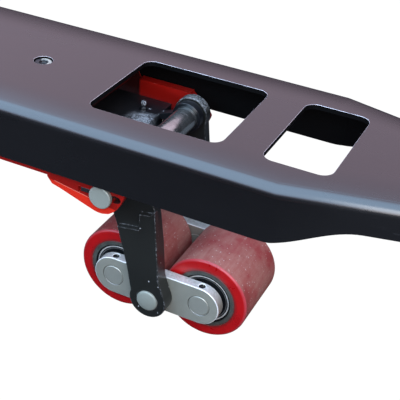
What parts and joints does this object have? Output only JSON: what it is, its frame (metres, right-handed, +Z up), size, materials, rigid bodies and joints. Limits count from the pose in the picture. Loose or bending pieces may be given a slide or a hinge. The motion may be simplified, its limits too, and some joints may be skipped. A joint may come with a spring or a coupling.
{
  "type": "scale pallet truck",
  "caption": "Hand pallet truck with weighing forks: sheet covers on load cells over inner forks, tandem load rollers, hydraulic pump, steering wheels, upright handle and a tilted indicator.",
  "frame": {"origin": "on the floor, under the middle of the truck's length and width", "axes": "+Z up, -Y towards the fork tips, +Y towards the handle, +X to the left as seen from the handle"},
  "size_m": [0.685, 1.451, 1.21],
  "materials": {
    "frame_red": "gloss",
    "cover_dark": "satin",
    "arm_black": "satin",
    "bright_steel": "satin",
    "polished_steel": "polished",
    "bearing_steel": "satin",
    "roller_tread": "satin",
    "roller_core": "matt",
    "steer_tread": "matt",
    "wheel_hub": "satin",
    "cell_metal": "satin",
    "plastic_black": "matt",
    "plastic_grey": "satin",
    "display": "gloss"
  },
  "bodies": {
    "chassis": {"head_frame": "frame_red", "inner_fork_left": "frame_red", "inner_fork_right": "frame_red", "fork_cover_left": "cover_dark", "fork_cover_right": "cover_dark", "load_cells": "cell_metal", "load_cell_screws": "bright_steel", "cover_screws": "bright_steel", "pivot_shafts": "bright_steel", "pin_keepers": "bright_steel", "piston_rod": "polished_steel", "indicator_post": "cover_dark", "indicator_case": "cover_dark", "indicator_front": "plastic_grey", "display_window": "display", "keypad": "plastic_grey", "battery_box": "cover_dark", "cable_glands": "plastic_black"},
    "bracket": {"lift_bracket": "frame_red"},
    "pump": {"thrust_bearing": "bearing_steel", "pump_base": "frame_red", "oil_tank": "frame_red", "wheel_axle": "bright_steel", "steer_bearings": "bearing_steel", "handle_pins": "bright_steel"},
    "steer_wheel_left": {"steer_tyre_left": "steer_tread", "steer_hub_left": "wheel_hub"},
    "steer_wheel_right": {"steer_tyre_right": "steer_tread", "steer_hub_right": "wheel_hub"},
    "handle": {"handle_socket": "frame_red", "handle_tube": "frame_red", "handle_loop": "plastic_black", "cam_roller": "bright_steel"},
    "lever": {"control_lever": "plastic_grey"},
    "release": {"release_rod": "bright_steel"},
    "plunger": {"pump_plunger": "polished_steel"},
    "rocker": {"rocker": "arm_black"},
    "push_rod_left": {"push_rod_left": "arm_black"},
    "carrier_left": {"carrier_left": "arm_black", "push_shaft_left": "polished_steel"},
    "bogie_pins_left": {"bogie_pins_left": "bright_steel"},
    "bogie_left": {"bogie_links_left": "bright_steel", "roller_axles_left": "bright_steel", "roller_bearings_left": "bearing_steel"},
    "roller_front_left": {"tyre_front_left": "roller_tread", "core_front_left": "roller_core"},
    "roller_rear_left": {"tyre_rear_left": "roller_tread", "core_rear_left": "roller_core"},
    "push_rod_right": {"push_rod_right": "arm_black"},
    "carrier_right": {"carrier_right": "arm_black", "push_shaft_right": "polished_steel"},
    "bogie_pins_right": {"bogie_pins_right": "bright_steel"},
    "bogie_right": {"bogie_links_right": "bright_steel", "roller_axles_right": "bright_steel", "roller_bearings_right": "bearing_steel"},
    "roller_front_right": {"tyre_front_right": "roller_tread", "core_front_right": "roller_core"},
    "roller_rear_right": {"tyre_rear_right": "roller_tread", "core_rear_right": "roller_core"}
  },
  "joints": [
    {"name": "lift", "type": "slide", "parent": "chassis", "child": "bracket", "axis": [0, 0, 1], "range_m": [0, 0.12]},
    {"name": "steer", "type": "hinge", "parent": "bracket", "child": "pump", "pos_m": [0, 0.6295, 0.206], "axis": [0, 0, 1], "range_deg": [-95, 95]},
    {"name": "steer_wheel_left_spin", "type": "hinge", "parent": "pump", "child": "steer_wheel_left", "pos_m": [0, 0.6295, 0.09], "axis": [1, 0, 0], "continuous": true},
    {"name": "steer_wheel_right_spin", "type": "hinge", "parent": "pump", "child": "steer_wheel_right", "pos_m": [0, 0.6295, 0.09], "axis": [1, 0, 0], "continuous": true},
    {"name": "handle_tilt", "type": "hinge", "parent": "pump", "child": "handle", "pos_m": [0, 0.6915, 0.353], "axis": [-1, 0, 0], "range_deg": [0, 75], "stiffness_Nm_per_rad": 12, "springref_deg": -22.92},
    {"name": "lever_turn", "type": "hinge", "parent": "handle", "child": "lever", "pos_m": [0, 0.6835, 1.072], "axis": [1, 0, 0], "range_deg": [-12, 12], "stiffness_Nm_per_rad": 0.5},
    {"name": "release_pull", "type": "slide", "parent": "handle", "child": "release", "axis": [0, 0, 1], "range_m": [-0.0018, 0.0018]},
    {"name": "plunger_stroke", "type": "slide", "parent": "pump", "child": "plunger", "axis": [0, 0, -1], "range_m": [0, 0.02232]},
    {"name": "rocker_turn", "type": "hinge", "parent": "chassis", "child": "rocker", "pos_m": [0, 0.4745, 0.195], "axis": [1, 0, 0], "range_deg": [0, 78.61]},
    {"name": "carrier_left_turn", "type": "hinge", "parent": "chassis", "child": "carrier_left", "pos_m": [0.254, -0.4665, 0.147], "axis": [-1, 0, 0], "range_deg": [0, 78.61]},
    {"name": "push_rod_left_turn", "type": "hinge", "parent": "carrier_left", "child": "push_rod_left", "pos_m": [0.254, -0.481, 0.168], "axis": [1, 0, 0], "range_deg": [0, 78.61]},
    {"name": "bogie_pins_left_turn", "type": "hinge", "parent": "carrier_left", "child": "bogie_pins_left", "pos_m": [0.254, -0.5015, 0.039], "axis": [1, 0, 0], "range_deg": [0, 78.61]},
    {"name": "bogie_left_pitch", "type": "hinge", "parent": "bogie_pins_left", "child": "bogie_left", "pos_m": [0.254, -0.5015, 0.039], "axis": [1, 0, 0], "range_deg": [-7, 7]},
    {"name": "roller_front_left_spin", "type": "hinge", "parent": "bogie_left", "child": "roller_front_left", "pos_m": [0.254, -0.54425, 0.04], "axis": [1, 0, 0], "continuous": true},
    {"name": "roller_rear_left_spin", "type": "hinge", "parent": "bogie_left", "child": "roller_rear_left", "pos_m": [0.254, -0.45875, 0.04], "axis": [1, 0, 0], "continuous": true},
    {"name": "carrier_right_turn", "type": "hinge", "parent": "chassis", "child": "carrier_right", "pos_m": [-0.254, -0.4665, 0.147], "axis": [-1, 0, 0], "range_deg": [0, 78.61]},
    {"name": "push_rod_right_turn", "type": "hinge", "parent": "carrier_right", "child": "push_rod_right", "pos_m": [-0.254, -0.481, 0.168], "axis": [1, 0, 0], "range_deg": [0, 78.61]},
    {"name": "bogie_pins_right_turn", "type": "hinge", "parent": "carrier_right", "child": "bogie_pins_right", "pos_m": [-0.254, -0.5015, 0.039], "axis": [1, 0, 0], "range_deg": [0, 78.61]},
    {"name": "bogie_right_pitch", "type": "hinge", "parent": "bogie_pins_right", "child": "bogie_right", "pos_m": [-0.254, -0.5015, 0.039], "axis": [1, 0, 0], "range_deg": [-7, 7]},
    {"name": "roller_front_right_spin", "type": "hinge", "parent": "bogie_right", "child": "roller_front_right", "pos_m": [-0.254, -0.54425, 0.04], "axis": [1, 0, 0], "continuous": true},
    {"name": "roller_rear_right_spin", "type": "hinge", "parent": "bogie_right", "child": "roller_rear_right", "pos_m": [-0.254, -0.45875, 0.04], "axis": [1, 0, 0], "continuous": true}
  ],
  "couplings": [
    {"joint": "release_pull", "follows": "lever_turn", "m_per_rad": 0.008},
    {"joint": "plunger_stroke", "follows": "handle_tilt", "m_per_rad": 0.016742},
    {"joint": "rocker_turn", "follows": "lift", "rad_per_m": 11.361},
    {"joint": "carrier_left_turn", "follows": "lift", "rad_per_m": 11.361},
    {"joint": "push_rod_left_turn", "follows": "lift", "rad_per_m": 11.361},
    {"joint": "bogie_pins_left_turn", "follows": "lift", "rad_per_m": 11.361},
    {"joint": "carrier_right_turn", "follows": "lift", "rad_per_m": 11.361},
    {"joint": "push_rod_right_turn", "follows": "lift", "rad_per_m": 11.361},
    {"joint": "bogie_pins_right_turn", "follows": "lift", "rad_per_m": 11.361}
  ]
}
